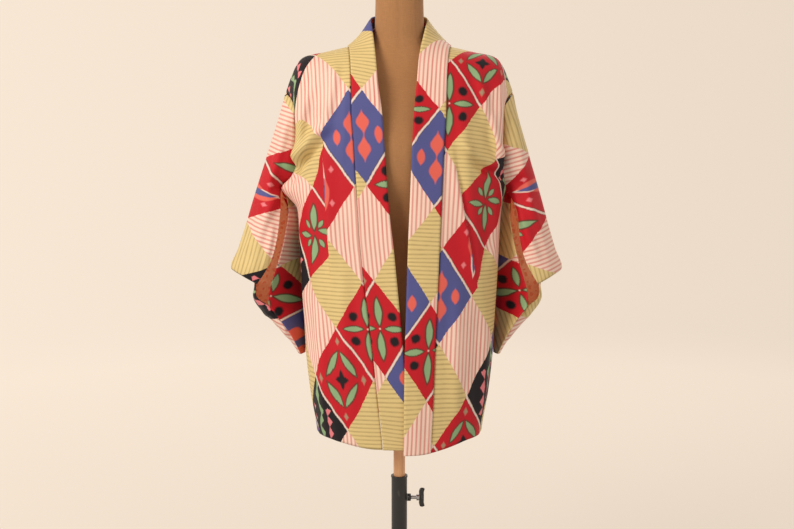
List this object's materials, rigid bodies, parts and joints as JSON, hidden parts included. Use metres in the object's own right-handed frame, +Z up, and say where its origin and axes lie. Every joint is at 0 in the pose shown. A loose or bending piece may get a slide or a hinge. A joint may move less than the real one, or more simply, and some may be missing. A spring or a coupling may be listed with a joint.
{
  "type": "kimono jacket on a limbless dress form",
  "caption": "Short open kimono jacket with wide hanging sleeves and a long collar band, worn by a limbless dress form on an adjustable pole stand.",
  "frame": {"origin": "centre of the round base's underside, on the floor under the pole", "axes": "+Z up the pole, -Y out of the jacket's front, +X towards the wearer's left"},
  "size_m": [0.6997, 0.34, 1.511],
  "materials": {
    "figured_silk": "plain-woven silk with a lozenge patchwork in cream, pink stripe, red, blue and black",
    "lining_silk": "thin rust silk with small woven figures",
    "form_linen": "tight tan cloth cover over a firm torso",
    "beech": "turned wood, satin",
    "black_steel": "black painted steel, satin",
    "bright_steel": "bright turned steel"
  },
  "bodies": {
    "stand": {"stand_base": "black_steel", "stand_tube": "black_steel", "clamp_boss": "black_steel"},
    "pole": {"pole": "beech"},
    "form": {"form_torso": "form_linen", "neck_cap": "beech", "form_flange": "black_steel", "body_panel_right": "figured_silk", "body_panel_left": "figured_silk", "gore_right": "figured_silk", "gore_left": "figured_silk", "sleeve_right": "figured_silk", "sleeve_left": "figured_silk", "sleeve_lining_right": "lining_silk", "sleeve_lining_left": "lining_silk", "collar": "figured_silk"},
    "clamp": {"clamp_screw": "bright_steel", "clamp_wing": "black_steel"}
  },
  "joints": [
    {"name": "height_slide", "type": "slide", "parent": "stand", "child": "pole", "axis": [0, 0, 1], "range_m": [-0.1, 0.2]},
    {"name": "form_turn", "type": "hinge", "parent": "pole", "child": "form", "pos_m": [0, 0, 0.73], "axis": [0, 0, 1], "continuous": true},
    {"name": "clamp_turn", "type": "hinge", "parent": "stand", "child": "clamp", "pos_m": [0.02, 0, 0.412], "axis": [1, 0, 0], "range_deg": [0, 360]}
  ]
}
